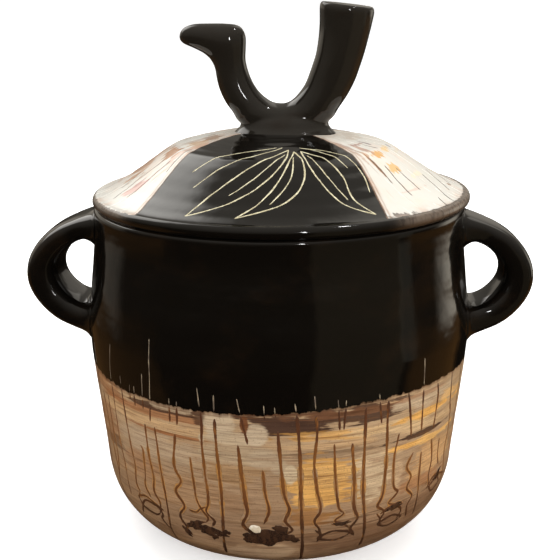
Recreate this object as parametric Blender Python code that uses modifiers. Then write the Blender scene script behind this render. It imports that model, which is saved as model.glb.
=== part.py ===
"""A glazed pottery cooking pot with two strap handles and a loose domed lid.

The pot is thrown as a barrel with a rounded foot corner and stands on a turned foot ring.  The two
handles are straps luted to the wall.  The lid rests on the pot's flat lip, a locating flange keeps it
central, and its knob is a thick bar bent into a U with a bird's head at one end and a blunt tail at
the other.

Frame: metres, +Z up, origin on the pot's axis at the plane of the foot, handles along X, knob in XZ.
"""

import math

import bmesh
import bpy
from mathutils import Vector
from mathutils.geometry import interpolate_bezier

MM = 0.001

# Driving dimensions
LIP_TOP = 197.3 * MM  # height of the pot's flat lip
LIP_RADIUS = 108.2 * MM  # outside of the lip
MOUTH_RADIUS = 99.5 * MM  # clear opening of the pot
FLOOR_TOP = 11.5 * MM  # inside of the floor
FOOT_HEIGHT = 3.0 * MM
FOOT_OUTER = 70.0 * MM
FOOT_INNER = 61.0 * MM
LID_RADIUS = 110.0 * MM
LID_EDGE = 7.0 * MM  # thickness of the lid's rounded edge
LID_TOP = 239.2 * MM
FLANGE_OUTER = 97.2 * MM
FLANGE_INNER = 91.0 * MM
FLANGE_DEPTH = 12.0 * MM
RIGHT_HALF_WIDTH = 18.5 * MM  # half the width of the right handle's strap, which was pulled narrower
LEFT_HALF_WIDTH = 21.0 * MM
LEFT_TURN = 4.5  # degrees that the left handle sits round to the back from opposite the right one
JOINT_GAP = 0.3 * MM  # the slip joint between two pieces that are luted or rest on each other

# Facets
ROUND_STEPS = 64
CURVE_POINTS = 6
SECTION_POINTS = 16

COLLECTION_NAME = "lidded_pot"
BLACK_GLAZE = (0.012, 0.010, 0.008, 1.0)
BARE_CLAY = (0.45, 0.24, 0.13, 1.0)

# Each station across the handle's strap, from the upper root round to the lower one: a point on its
# outer edge, a point on its inner edge (radius and height, mm), and its width as a share of the strap's.
HANDLE_STATIONS = (
    ((103.0, 191.6), (103.0, 172.0), 1.14),
    ((109.5, 190.6), (108.6, 173.0), 1.12),
    ((116.5, 188.4), (113.4, 174.2), 1.06),
    ((123.8, 185.4), (118.2, 172.8), 1.0),
    ((131.0, 181.8), (122.6, 170.2), 1.0),
    ((138.0, 176.8), (126.4, 166.6), 1.0),
    ((144.2, 170.0), (129.4, 162.4), 1.0),
    ((148.4, 162.2), (131.1, 158.2), 1.0),
    ((150.0, 153.8), (131.3, 153.8), 1.0),
    ((148.8, 145.6), (130.3, 149.9), 1.0),
    ((144.9, 137.8), (128.1, 146.2), 1.0),
    ((138.7, 130.6), (125.0, 142.7), 1.02),
    ((131.2, 125.0), (120.8, 139.5), 1.05),
    ((122.8, 121.3), (115.8, 137.6), 1.1),
    ((114.4, 118.3), (111.2, 137.9), 1.18),
    ((109.0, 115.4), (108.4, 139.6), 1.24),
    ((103.0, 112.0), (103.0, 141.0), 1.28),
)

# Each station across the knob's bar, from the bird's beak to the tail: a point on the outside of the
# U, a point on its inside (x and height, mm), and half the bar's depth along Y (mm).
KNOB_STATIONS = (
    ((-56.6, 289.8), (-56.8, 293.0), 2.4),
    ((-54.2, 287.6), (-54.4, 296.4), 5.0),
    ((-49.6, 285.6), (-48.6, 298.6), 7.2),
    ((-43.8, 282.8), (-40.0, 299.0), 8.6),
    ((-40.0, 279.8), (-30.0, 298.9), 9.4),
    ((-38.2, 277.2), (-22.6, 297.6), 9.6),
    ((-37.0, 274.6), (-19.2, 292.6), 9.4),
    ((-36.4, 272.2), (-19.0, 285.6), 9.2),
    ((-36.0, 269.4), (-19.2, 279.0), 9.1),
    ((-35.2, 265.2), (-17.8, 272.6), 9.2),
    ((-33.6, 260.2), (-15.2, 266.0), 9.6),
    ((-30.8, 254.4), (-11.6, 260.6), 10.2),
    ((-26.6, 248.6), (-7.2, 256.6), 11.0),
    ((-22.8, 243.0), (-3.4, 254.4), 11.8),
    ((-12.0, 239.0), (0.4, 253.7), 12.2),
    ((17.0, 239.0), (4.0, 254.0), 12.2),
    ((29.6, 244.6), (7.8, 256.0), 12.2),
    ((34.4, 251.4), (11.6, 260.0), 12.2),
    ((39.2, 258.6), (15.0, 265.0), 12.4),
    ((43.2, 266.4), (17.4, 271.0), 12.8),
    ((45.8, 273.6), (19.2, 276.2), 13.2),
    ((48.6, 282.4), (21.1, 282.6), 13.6),
    ((51.0, 291.8), (22.4, 291.6), 14.0),
    ((52.7, 299.0), (22.9, 299.8), 14.3),
    ((53.7, 305.4), (23.1, 308.4), 14.4),
    ((52.2, 308.4), (24.8, 311.5), 13.2),
)
KNOB_FOOT_CENTRE = 3.2 * MM  # x of the knob's foot
KNOB_FOOT_HALF_LENGTH = 26.1 * MM
KNOB_FOOT_HALF_DEPTH = 17.0 * MM
KNOB_FOOT_TOP = 246.5 * MM


def clear_scene():
    for obj in list(bpy.data.objects):
        bpy.data.objects.remove(obj, do_unlink=True)


def new_collection(name):
    collection = bpy.data.collections.new(name)
    bpy.context.scene.collection.children.link(collection)
    return collection


def glaze(name, colour, roughness):
    """A non-metal surface of one colour."""
    material = bpy.data.materials.new(name)
    material.use_nodes = True
    shader = material.node_tree.nodes["Principled BSDF"]
    shader.inputs["Base Color"].default_value = colour
    shader.inputs["Roughness"].default_value = roughness
    shader.inputs["Metallic"].default_value = 0.0
    return material


def curve(*knots_mm):
    """The points of a cubic stretch: its start, two handles and end, each (radius, height) in mm."""
    corners = [Vector((r, z, 0.0)) * MM for r, z in knots_mm]
    points = interpolate_bezier(*corners, CURVE_POINTS)
    return [(p.x, p.y) for p in points]


def arc(centre, radius, start, end, points=4):
    """Points on a circle in the profile's plane, with the angles in degrees."""
    angles = [math.radians(start + (end - start) * i / (points - 1)) for i in range(points)]
    return [(centre[0] + radius * math.cos(a), centre[1] + radius * math.sin(a)) for a in angles]


def pot_outside():
    """The pot's outer wall, from just under the lip down to the edge of its underside."""
    upper = curve((108.2, 194.2), (107.0, 178.0), (111.0, 156.0), (112.6, 128.0))
    middle = curve((112.6, 128.0), (113.3, 115.0), (107.2, 76.0), (104.3, 46.0))
    corner = curve((104.3, 46.0), (102.7, 27.0), (92.2, 10.6), (75.4, 3.6))
    return upper + middle[1:] + corner[1:] + [(72.0 * MM, FOOT_HEIGHT + JOINT_GAP)]


def pot_inside():
    """The pot's inner wall, from the middle of the floor up to the mouth."""
    floor = [(0.0, FLOOR_TOP), (60.0 * MM, FLOOR_TOP)]
    corner = curve((74.0, 11.9), (88.0, 13.0), (96.4, 27.0), (97.6, 46.0))
    wall = curve((97.6, 46.0), (99.4, 74.0), (105.6, 108.0), (105.6, 130.0))
    neck = curve((105.6, 130.0), (105.6, 152.0), (99.7, 164.0), (99.5, 188.0))
    return floor + corner + wall[1:] + neck[1:]


def lid_outside():
    """The lid's upper side, from the axis out and down to its rounded edge."""
    crown = curve((0.0, 239.2), (24.0, 239.2), (45.0, 234.8), (60.0, 231.2))
    slope = curve((60.0, 231.2), (67.4, 229.4), (83.9, 214.8), (96.4, 208.8))
    half_edge = LID_EDGE / 2
    centre = (LID_RADIUS - half_edge, LIP_TOP + JOINT_GAP + half_edge)
    bead = [(100.2 * MM, 206.8 * MM), (centre[0] - 3.0 * MM, centre[1] + half_edge + 0.4 * MM)]
    return crown + slope[1:] + bead + arc(centre, half_edge, 90.0, -90.0, 7)


def raised(profile, by):
    return [(r, z + by) for r, z in profile]


def turned(name, profile, material, collection):
    """A solid of revolution about Z, from a profile of (radius, height) that runs down its outer side."""
    mesh = bpy.data.meshes.new(name)
    points = [(r, 0.0, z) for r, z in profile]
    mesh.from_pydata(points, [(i, i + 1) for i in range(len(points) - 1)], [])
    mesh.materials.append(material)
    obj = bpy.data.objects.new(name, mesh)
    collection.objects.link(obj)
    screw = obj.modifiers.new("turn", "SCREW")
    screw.steps = screw.render_steps = ROUND_STEPS
    screw.use_merge_vertices = True
    screw.merge_threshold = 0.05 * MM
    screw.use_smooth_shade = True
    return obj


def closed_ring(profile):
    return profile + profile[:1]


def section(outer, inner, half_depth, squareness):
    """A closed oval loop that runs through two points of the XZ plane, with a given half depth along Y."""
    centre = (outer + inner) / 2
    across = (outer - inner) / 2
    loop = []
    for i in range(SECTION_POINTS):
        angle = 2 * math.pi * i / SECTION_POINTS
        c, s = math.cos(angle), math.sin(angle)
        share = math.copysign(abs(c) ** squareness, c)
        depth = math.copysign(abs(s) ** squareness, s)
        loop.append(centre + across * share + Vector((0.0, half_depth * depth, 0.0)))
    return loop


def lofted(name, stations, squareness, material, collection):
    """A solid skinned over ovals, each given as (outer point, inner point, half depth) in metres."""
    mesh = bpy.data.meshes.new(name)
    build = bmesh.new()
    loops = []
    for outer, inner, half_depth in stations:
        ring = section(Vector(outer), Vector(inner), half_depth, squareness)
        loops.append([build.verts.new(point) for point in ring])
    for first, second in zip(loops, loops[1:]):
        for i in range(SECTION_POINTS):
            j = (i + 1) % SECTION_POINTS
            build.faces.new((first[i], first[j], second[j], second[i]))
    build.faces.new(loops[0])
    build.faces.new(loops[-1])
    bmesh.ops.recalc_face_normals(build, faces=build.faces)
    build.to_mesh(mesh)
    build.free()
    mesh.shade_smooth()
    mesh.materials.append(material)
    obj = bpy.data.objects.new(name, mesh)
    collection.objects.link(obj)
    return obj


def boolean(obj, other, operation):
    modifier = obj.modifiers.new(operation.lower(), "BOOLEAN")
    modifier.operation = operation
    modifier.object = other
    modifier.solver = "EXACT"


def as_helper(obj):
    obj.hide_render = True
    obj.display_type = "WIRE"
    return obj


def make_pot(parts, black, clay):
    """The thrown body and the foot ring that it stands on."""
    underside = FOOT_HEIGHT + JOINT_GAP
    mouth = [(MOUTH_RADIUS, LIP_TOP - 1.4 * MM), (MOUTH_RADIUS + 1.4 * MM, LIP_TOP)]
    lip = arc((LIP_RADIUS - 2.4 * MM, LIP_TOP - 2.4 * MM), 2.4 * MM, 90.0, 15.0)
    profile = pot_inside() + mouth + lip + pot_outside() + [(0.0, underside)]
    turned("pot_body", profile, black, parts)

    edge = 1.0 * MM
    foot = [
        (FOOT_INNER, 0.0),
        (FOOT_INNER, FOOT_HEIGHT),
        (FOOT_OUTER, FOOT_HEIGHT),
        (FOOT_OUTER, edge),
        (FOOT_OUTER - edge, 0.0),
    ]
    turned("foot_ring", closed_ring(foot), clay, parts)


def make_handles(parts, helpers, black):
    """The two strap handles, each cut back to the pot's wall."""
    wall = [(0.0, LIP_TOP)] + [(r + JOINT_GAP, z) for r, z in pot_outside()] + [(0.0, 0.0)]
    cutter = as_helper(turned("wall_cutter", wall, black, helpers))
    handles = (
        ("right_handle", 0.0, RIGHT_HALF_WIDTH),
        ("left_handle", 180.0 - LEFT_TURN, LEFT_HALF_WIDTH),
    )
    for name, bearing, half_width in handles:
        stations = []
        for outer, inner, share in HANDLE_STATIONS:
            outer_point = Vector((outer[0], 0.0, outer[1])) * MM
            inner_point = Vector((inner[0], 0.0, inner[1])) * MM
            stations.append((outer_point, inner_point, share * half_width))
        handle = lofted(name, stations, 0.6, black, parts)
        handle.rotation_euler.z = math.radians(bearing)
        boolean(handle, cutter, "DIFFERENCE")


def make_lid(parts, black):
    """The domed lid and the flange under it that drops into the pot's mouth."""
    seat = LIP_TOP + JOINT_GAP
    crown = curve((0.0, 232.8), (24.0, 232.8), (44.0, 229.4), (57.0, 224.8))
    slope = curve((57.0, 224.8), (65.0, 222.0), (79.5, 208.6), (89.4, 201.0))
    hollow = crown + slope[1:] + [(FLANGE_INNER, seat)]
    turned("lid_shell", lid_outside() + hollow[::-1], black, parts)

    root = LIP_TOP
    bottom = root - FLANGE_DEPTH
    round_off = 1.6 * MM
    flange = [
        (FLANGE_INNER, bottom + round_off),
        (FLANGE_INNER, root),
        (FLANGE_OUTER, root),
        (FLANGE_OUTER, bottom + round_off),
        (FLANGE_OUTER - round_off, bottom),
        (FLANGE_INNER + round_off, bottom),
    ]
    turned("lid_flange", closed_ring(flange), black, parts)


def make_knob(parts, helpers, black):
    """The U-shaped knob on its oval foot, cut back to the top of the lid."""
    stations = []
    for outer, inner, half_depth in KNOB_STATIONS:
        outer_point = Vector((outer[0], 0.0, outer[1])) * MM
        inner_point = Vector((inner[0], 0.0, inner[1])) * MM
        stations.append((outer_point, inner_point, half_depth * MM))
    knob = lofted("bird_knob", stations, 0.9, black, parts)

    foot_profile = [
        (0.0, KNOB_FOOT_TOP),
        (KNOB_FOOT_HALF_LENGTH - 2.0 * MM, KNOB_FOOT_TOP),
        (KNOB_FOOT_HALF_LENGTH - 0.8 * MM, KNOB_FOOT_TOP - 3.5 * MM),
        (KNOB_FOOT_HALF_LENGTH, LID_TOP - 4.0 * MM),
        (0.0, LID_TOP - 4.0 * MM),
    ]
    foot = as_helper(turned("knob_foot", foot_profile, black, helpers))
    foot.location.x = KNOB_FOOT_CENTRE
    foot.scale.y = KNOB_FOOT_HALF_DEPTH / KNOB_FOOT_HALF_LENGTH
    boolean(knob, foot, "UNION")

    top = raised(lid_outside()[: 2 * CURVE_POINTS - 1], JOINT_GAP)
    below = LIP_TOP
    cutter = as_helper(turned("lid_cutter", top + [(top[-1][0], below), (0.0, below)], black, helpers))
    boolean(knob, cutter, "DIFFERENCE")


def main():
    clear_scene()
    parts = new_collection(COLLECTION_NAME)
    helpers = new_collection(COLLECTION_NAME + "_helpers")
    black = glaze("black_glaze", BLACK_GLAZE, 0.12)
    clay = glaze("bare_clay", BARE_CLAY, 0.85)
    make_pot(parts, black, clay)
    make_handles(parts, helpers, black)
    make_lid(parts, black)
    make_knob(parts, helpers, black)


main()
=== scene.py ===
"""The looks of a lidded stoneware pot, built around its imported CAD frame.

Every CAD node gets a finer piece: a turned body and lid with the slight unevenness of a thrown pot,
pulled strap handles, a knob modelled in one mass, and the decoration.  Black glaze covers the top half,
brushed cream and brown glazes the lower half and the sides of the lid, and lines are scratched through.
"""

import math

import bmesh
import bpy
import numpy as np
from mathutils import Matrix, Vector


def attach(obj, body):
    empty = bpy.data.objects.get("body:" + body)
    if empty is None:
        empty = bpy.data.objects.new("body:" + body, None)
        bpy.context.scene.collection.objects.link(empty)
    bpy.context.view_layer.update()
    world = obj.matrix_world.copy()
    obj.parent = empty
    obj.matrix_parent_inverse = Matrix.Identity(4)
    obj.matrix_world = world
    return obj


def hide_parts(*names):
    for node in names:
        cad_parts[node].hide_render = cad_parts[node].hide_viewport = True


MM = 0.001
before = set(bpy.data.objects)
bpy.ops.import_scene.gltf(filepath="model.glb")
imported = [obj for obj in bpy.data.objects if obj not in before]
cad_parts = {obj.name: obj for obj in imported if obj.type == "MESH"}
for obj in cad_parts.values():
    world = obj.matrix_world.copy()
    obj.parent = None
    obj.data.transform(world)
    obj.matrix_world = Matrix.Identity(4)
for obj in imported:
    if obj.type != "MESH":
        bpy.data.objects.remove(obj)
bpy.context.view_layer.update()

# Sizes of the pot, in millimetres, as its CAD has them
LIP_TOP = 197.3
LIP_RADIUS = 108.2
MOUTH_RADIUS = 99.5
FLOOR_TOP = 11.5
FOOT_HEIGHT = 3.0
FOOT_OUTER = 70.0
FOOT_INNER = 61.0
LID_RADIUS = 110.0
LID_EDGE = 7.0
FLANGE_OUTER = 97.2
FLANGE_INNER = 91.0
FLANGE_DEPTH = 12.0
SEAT_GAP = 0.3

COLUMNS = 384  # facets round a turned piece
CURVE_STEPS = 44  # points along each curve of a profile


# ---- Profiles, in (radius, height) millimetres ----


def bezier(*knots, steps=CURVE_STEPS):
    """Points along a cubic curve, given its start, two handles and end."""
    a, b, c, d = (np.array(k, float) for k in knots)
    t = np.linspace(0.0, 1.0, steps)[:, None]
    return (1 - t) ** 3 * a + 3 * t * (1 - t) ** 2 * b + 3 * t * t * (1 - t) * c + t**3 * d


def arc(centre, radius, start, end, steps=14):
    """Points on a circle, with the angles in degrees."""
    t = np.radians(np.linspace(start, end, steps))
    return np.column_stack((centre[0] + radius * np.cos(t), centre[1] + radius * np.sin(t)))


def line(start, end, steps):
    return np.linspace(start, end, steps)


def pot_outside():
    """The outer wall from under the lip down to the edge of the underside."""
    upper = bezier((108.2, 194.2), (107.0, 178.0), (111.0, 156.0), (112.6, 128.0))
    middle = bezier((112.6, 128.0), (113.3, 115.0), (107.2, 76.0), (104.3, 46.0))
    corner = bezier((104.3, 46.0), (102.7, 27.0), (92.2, 10.6), (75.4, 3.6))
    return np.vstack((upper, middle[1:], corner[1:]))


def pot_inside():
    """The inner wall from the middle of the floor up to the mouth."""
    floor = line((0.0, FLOOR_TOP), (74.0, 11.9), 20)
    corner = bezier((74.0, 11.9), (88.0, 13.0), (96.4, 27.0), (97.6, 46.0), steps=24)
    wall = bezier((97.6, 46.0), (99.4, 74.0), (105.6, 108.0), (105.6, 130.0), steps=20)
    neck = bezier((105.6, 130.0), (105.6, 152.0), (99.7, 164.0), (99.5, 188.0), steps=20)
    return np.vstack((floor, corner[1:], wall[1:], neck[1:]))


def lid_top():
    """The lid's upper side from the axis out to where its edge starts to turn down."""
    crown = bezier((0.0, 239.2), (24.0, 239.2), (45.0, 234.8), (60.0, 231.2))
    slope = bezier((60.0, 231.2), (67.4, 229.4), (83.9, 214.8), (96.4, 208.8))
    run_out = bezier((96.4, 208.8), (99.5, 207.3), (103.2, 204.8), (106.5, 204.6), steps=16)
    return np.vstack((crown, slope[1:], run_out[1:]))


def lid_hollow():
    """The lid's underside from the flange in to the axis."""
    slope = bezier((89.4, 201.0), (79.5, 208.6), (65.0, 222.0), (57.0, 224.8), steps=24)
    crown = bezier((57.0, 224.8), (44.0, 229.4), (24.0, 232.8), (0.0, 232.8), steps=24)
    return np.vstack((slope, crown[1:]))


# ---- The unevenness of a thrown pot ----


def smoothstep(x, low, high):
    t = np.clip((x - low) / (high - low), 0.0, 1.0)
    return t * t * (3.0 - 2.0 * t)


def uneven_body(angle, radius, height):
    """Adds the body's slight ovality, its throwing marks and its lip's dip at the left and back."""
    wobble = 0.28 * np.sin(2 * angle + 0.7) + 0.18 * np.sin(3 * angle + 1.9 + height / 40)
    rings = 0.012 * np.sin(height * 1.15 + 0.8 * np.sin(angle)) + 0.04 * np.sin(height * 0.31 + angle)
    inward = smoothstep(radius, 40.0, 75.0)
    dip = lid_dip(angle) * smoothstep(height, 150.0, 197.0)
    return radius + inward * (wobble + rings), height - dip


def lid_dip(angle):
    """How far the seat, and the lid on it, lie low at the left, in millimetres; less than 0 at the right."""
    return 1.2 * (1.0 + np.cos(angle + math.radians(108.0))) - 0.8


def uneven_lid(angle, radius, height):
    """Adds the lid's ovality and turning marks, and lowers it onto the dipped lip."""
    out = smoothstep(radius, 25.0, 100.0)
    wobble = 0.25 * np.sin(2 * angle + 2.1) + 0.15 * np.sin(3 * angle + 0.4)
    rings = 0.07 * np.sin(radius * 0.75 + 0.7 * np.sin(angle))
    low = out * lid_dip(angle)
    return radius + out * wobble, height - low + rings * smoothstep(radius, 5.0, 30.0)


def even(angle, radius, height):
    return radius, height


LID_SHIFT = 1.3  # mm that the lid's rim lies off centre, towards +X


def placed(angle, radius, height, shift=0.0):
    """World points in metres from an angle round the pot (0 in front), a radius and a height in mm."""
    x = radius * np.sin(angle) + shift * smoothstep(radius, 30.0, 100.0)
    y = -radius * np.cos(angle)
    return np.stack((x, y, height + 0.0 * angle), axis=-1) * MM


def body_point(angle, height, proud=0.0):
    """A point on the body's outer surface, or a little proud of it."""
    wall = pot_outside()[::-1]
    radius = np.interp(height, wall[:, 1], wall[:, 0])
    slope = np.interp(height, wall[:, 1], np.gradient(wall[:, 0], wall[:, 1]))
    radius, height = uneven_body(angle, radius, height)
    tilt = 1.0 / np.sqrt(1.0 + slope**2)
    return placed(angle, radius + proud * tilt, height - proud * slope * tilt)


def lid_point(angle, radius, proud=0.0):
    """A point on the lid's upper surface, or a little proud of it."""
    top = lid_top()
    height = np.interp(radius, top[:, 0], top[:, 1])
    slope = np.interp(radius, top[:, 0], np.gradient(top[:, 1], top[:, 0]))
    radius, height = uneven_lid(angle, radius, height)
    tilt = 1.0 / np.sqrt(1.0 + slope**2)
    return placed(angle, radius - proud * slope * tilt, height + proud * tilt, LID_SHIFT)


# ---- Mesh making ----


def new_piece(name, points, faces, materials, body, node=None):
    """A smooth mesh object that rides on a CAD body and stands for a CAD node, if one is named."""
    mesh = bpy.data.meshes.new(name)
    mesh.from_pydata([tuple(p) for p in points], [], faces)
    for material in materials:
        mesh.materials.append(material)
    mesh.shade_smooth()
    mesh.update()
    piece = bpy.data.objects.new(name, mesh)
    bpy.context.scene.collection.objects.link(piece)
    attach(piece, body)
    if node:
        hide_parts(node)
    return piece


def turned(sections, uneven, shift=0.0, ring=False):
    """Points, faces and material indices of a turned solid.

    sections are (profile points, material index), running down the outer side.  The ends lie on the
    axis, or meet each other where ring is true.
    """
    profile = np.vstack([points for points, _ in sections])
    kinds = np.concatenate([[kind] * len(points) for points, kind in sections])
    keep = np.r_[True, np.hypot(*np.diff(profile, axis=0).T) > 1e-4]
    profile, kinds = profile[keep], kinds[keep]
    angles = np.linspace(0.0, 2 * math.pi, COLUMNS, endpoint=False)
    points, faces, indices, rows = [], [], [], []
    for radius, height in profile:
        start = len(points)
        if radius < 1e-6:
            points.append((0.0, 0.0, height * MM))
            rows.append([start] * COLUMNS)
            continue
        moved = uneven(angles, np.full(COLUMNS, radius), np.full(COLUMNS, height))
        points.extend(placed(angles, *moved, shift))
        rows.append(list(range(start, start + COLUMNS)))
    pairs = list(zip(rows, rows[1:], kinds[1:]))
    if ring:
        pairs.append((rows[-1], rows[0], kinds[0]))
    for upper, lower, kind in pairs:
        for i in range(COLUMNS):
            j = (i + 1) % COLUMNS
            corners = [upper[i], lower[i], lower[j], upper[j]]
            faces.append(list(dict.fromkeys(corners)))
            indices.append(int(kind))
    return points, faces, indices


def spline(points, steps):
    """A smooth curve through every row of points, with that many steps between two rows."""
    p = np.array(points, float)
    padded = np.vstack((2 * p[0] - p[1], p, 2 * p[-1] - p[-2]))
    t = np.linspace(0.0, 1.0, steps, endpoint=False)[:, None]
    spans = []
    for a, b, c, d in zip(padded, padded[1:], padded[2:], padded[3:]):
        spans.append(b + 0.5 * t * (c - a + t * (2 * a - 5 * b + 4 * c - d + t * (3 * (b - c) + d - a))))
    return np.vstack(spans + [p[-1:]])


def skinned(rings, faces_from=0):
    """Faces of a closed tube over rings of points, each of the same length, with fans at its ends."""
    count = len(rings[0])
    faces = []
    for k in range(len(rings) - 1):
        first, second = faces_from + k * count, faces_from + (k + 1) * count
        for i in range(count):
            j = (i + 1) % count
            faces.append([first + i, first + j, second + j, second + i])
    faces.append([faces_from + i for i in range(count)][::-1])
    last = faces_from + (len(rings) - 1) * count
    faces.append([last + i for i in range(count)])
    return faces


def oval(outer, inner, half_depth, squareness, steps):
    """A ring through two points of the XZ plane, with a half depth along Y, in millimetres."""
    t = np.linspace(0.0, 2 * math.pi, steps, endpoint=False)
    c, s = np.cos(t), np.sin(t)
    across = np.sign(c) * np.abs(c) ** squareness
    depth = np.sign(s) * np.abs(s) ** squareness
    centre = (np.array(outer) + np.array(inner)) / 2
    half = (np.array(outer) - np.array(inner)) / 2
    xz = centre[None, :] + across[:, None] * half[None, :]
    return np.column_stack((xz[:, 0], half_depth * depth, xz[:, 1]))


def fix_normals(piece):
    """Turns every face outwards."""
    build = bmesh.new()
    build.from_mesh(piece.data)
    bmesh.ops.recalc_face_normals(build, faces=build.faces)
    build.to_mesh(piece.data)
    build.free()


# ---- Materials ----


class Signal:
    """A node's output, which can stand in sums and products."""

    def __init__(self, nodes, socket):
        self.nodes = nodes
        self.socket = socket

    def __add__(self, other):
        return self.nodes.math("ADD", self, other)

    def __sub__(self, other):
        return self.nodes.math("SUBTRACT", self, other)

    def __rsub__(self, other):
        return self.nodes.math("SUBTRACT", other, self)

    def __mul__(self, other):
        return self.nodes.math("MULTIPLY", self, other)

    def __truediv__(self, number):
        return self * (1.0 / number)

    __radd__ = __add__
    __rmul__ = __mul__


class Nodes:
    """A node tree. Each method adds a node and gives its output."""

    def __init__(self, tree):
        self.tree = tree

    def new(self, kind, **settings):
        node = self.tree.nodes.new(kind)
        for name, value in settings.items():
            setattr(node, name, value)
        return node

    def output(self, node, name=0):
        return Signal(self, node.outputs[name])

    def put(self, socket, value):
        if isinstance(value, Signal):
            self.tree.links.new(value.socket, socket)
        elif isinstance(value, tuple) and len(value) == 3 and socket.type == "RGBA":
            socket.default_value = (*value, 1.0)
        else:
            socket.default_value = value

    def math(self, operation, a, b=0.0):
        node = self.new("ShaderNodeMath", operation=operation)
        self.put(node.inputs[0], a)
        self.put(node.inputs[1], b)
        return self.output(node)

    def vector(self, x, y, z):
        node = self.new("ShaderNodeCombineXYZ")
        for socket, value in zip(node.inputs, (x, y, z)):
            self.put(socket, value)
        return self.output(node)

    def split(self, vector):
        node = self.new("ShaderNodeSeparateXYZ")
        self.put(node.inputs[0], vector)
        return [Signal(self, socket) for socket in node.outputs]

    def azimuth(self, x, y):
        """The angle in degrees round from the front, -Y, towards +X."""
        return self.math("ARCTAN2", x, y * -1.0) * (180.0 / math.pi)

    def noise(self, x, y, z, detail=2.0, roughness=0.5):
        node = self.new("ShaderNodeTexNoise")
        self.put(node.inputs["Vector"], self.vector(x, y, z))
        node.inputs["Scale"].default_value = 1.0
        node.inputs["Detail"].default_value = detail
        node.inputs["Roughness"].default_value = roughness
        return self.output(node)

    def step(self, value, low, high, reach=1.0):
        """0 below low and reach above high, smoothly."""
        node = self.new("ShaderNodeMapRange", interpolation_type="SMOOTHSTEP")
        self.put(node.inputs["Value"], value)
        self.put(node.inputs["From Min"], low)
        self.put(node.inputs["From Max"], high)
        self.put(node.inputs["To Max"], reach)
        return self.output(node)

    def blend(self, factor, a, b, mode="MIX"):
        node = self.new("ShaderNodeMix", data_type="RGBA", blend_type=mode)
        self.put(node.inputs[0], factor)
        self.put(node.inputs[6], a)
        self.put(node.inputs[7], b)
        return self.output(node, 2)

    def ramp(self, value, *stops):
        """A colour from a value, with stops given as (position, colour)."""
        node = self.new("ShaderNodeValToRGB")
        band = node.color_ramp
        while len(band.elements) < len(stops):
            band.elements.new(0.5)
        for element, (position, colour) in zip(band.elements, stops):
            element.position = position
            element.color = (*colour, 1.0)
        self.put(node.inputs[0], value)
        return self.output(node)


class Graph(Nodes):
    """A material's nodes, round one Principled shader."""

    def __init__(self, name):
        self.material = bpy.data.materials.new(name)
        self.material.use_nodes = True
        super().__init__(self.material.node_tree)
        self.shader = self.tree.nodes["Principled BSDF"]

    def place(self):
        """The x, y and z of the point in the pot's own frame, in millimetres."""
        coordinates = self.new("ShaderNodeTexCoord")
        return [value * 1000.0 for value in self.split(self.output(coordinates, "Object"))]

    def around(self):
        """The point's angle round the pot in degrees (0 in front), its radius and its height in mm."""
        x, y, z = self.place()
        return self.azimuth(x, y), self.math("SQRT", x * x + y * y), z

    def brushed(self, along, across, detail=3.0, roughness=0.55):
        """Noise drawn out round the pot: features about along and across millimetres long."""
        x, y, z = self.place()
        return self.noise(x / along, y / along, z / across, detail, roughness)

    def paint(self, colour, place, strokes, ragged):
        """Lays ragged-edged strokes over a colour.

        place is a vector of (angle, height or radius).  A stroke is its middle's angle and place, half
        its width in degrees, half its height in mm, its colour and how solid it is.
        """
        for angle, level, half_angle, half_height, tint, solid in strokes:
            fit = self.new("ShaderNodeVectorMath", operation="MULTIPLY_ADD")
            self.put(fit.inputs[0], place)
            fit.inputs[1].default_value = (1.0 / half_angle, 1.0 / half_height, 0.0)
            fit.inputs[2].default_value = (-angle / half_angle, -level / half_height, 0.0)
            reach = self.new("ShaderNodeVectorMath", operation="LENGTH")
            self.put(reach.inputs[0], self.output(fit))
            cover = self.step(self.output(reach, "Value") + ragged, 1.15, 0.85, solid)
            colour = self.blend(cover, colour, tint)
        return colour

    def bump(self, height, distance, strength=1.0):
        node = self.new("ShaderNodeBump")
        self.put(node.inputs["Height"], height)
        node.inputs["Distance"].default_value = distance
        node.inputs["Strength"].default_value = strength
        self.tree.links.new(node.outputs[0], self.shader.inputs["Normal"])

    def finish(self, colour, roughness, **settings):
        self.put(self.shader.inputs["Base Color"], colour)
        self.put(self.shader.inputs["Roughness"], roughness)
        for name, value in settings.items():
            self.put(self.shader.inputs[name.replace("_", " ")], value)
        return self.material


BLACK = (0.0034, 0.0027, 0.0020)
BROWN_BLACK = (0.0085, 0.0050, 0.0028)
GLAZE_IOR = 1.52
GLAZE_DEPTH = 0.0011  # metres that a glaze's relief of 1 stands for
FINE_DEPTH = 0.0002  # the same, for the grain of a scratched line


def clouded(graph, colour=BLACK):
    """Black with clouds of brown in it."""
    return graph.blend(graph.step(graph.brushed(34.0, 20.0), 0.50, 0.80), colour, BROWN_BLACK)


def glaze_pool(graph):
    """The slow unevenness of a thick glaze, which bends its reflections."""
    return graph.brushed(40.0, 40.0, 1.5, 0.5) + graph.brushed(6.0, 6.0, 1.0, 0.5) * 0.06


def black_glaze(name="black_glaze", colour=BLACK):
    graph = Graph(name)
    graph.bump(glaze_pool(graph), GLAZE_DEPTH)
    roughness = graph.brushed(12.0, 12.0) * 0.05 + 0.030
    return graph.finish(clouded(graph, colour), roughness, IOR=GLAZE_IOR)


def two_glazes(graph, colour, shiny, matt, relief):
    """Finishes a surface that is glossy where shiny is 1, and elsewhere as rough as matt."""
    gloss = graph.brushed(12.0, 12.0) * 0.07 + 0.045
    graph.bump(glaze_pool(graph) + relief, GLAZE_DEPTH)
    return graph.finish(colour, gloss * shiny + matt * (1.0 - shiny), IOR=GLAZE_IOR)


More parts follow.
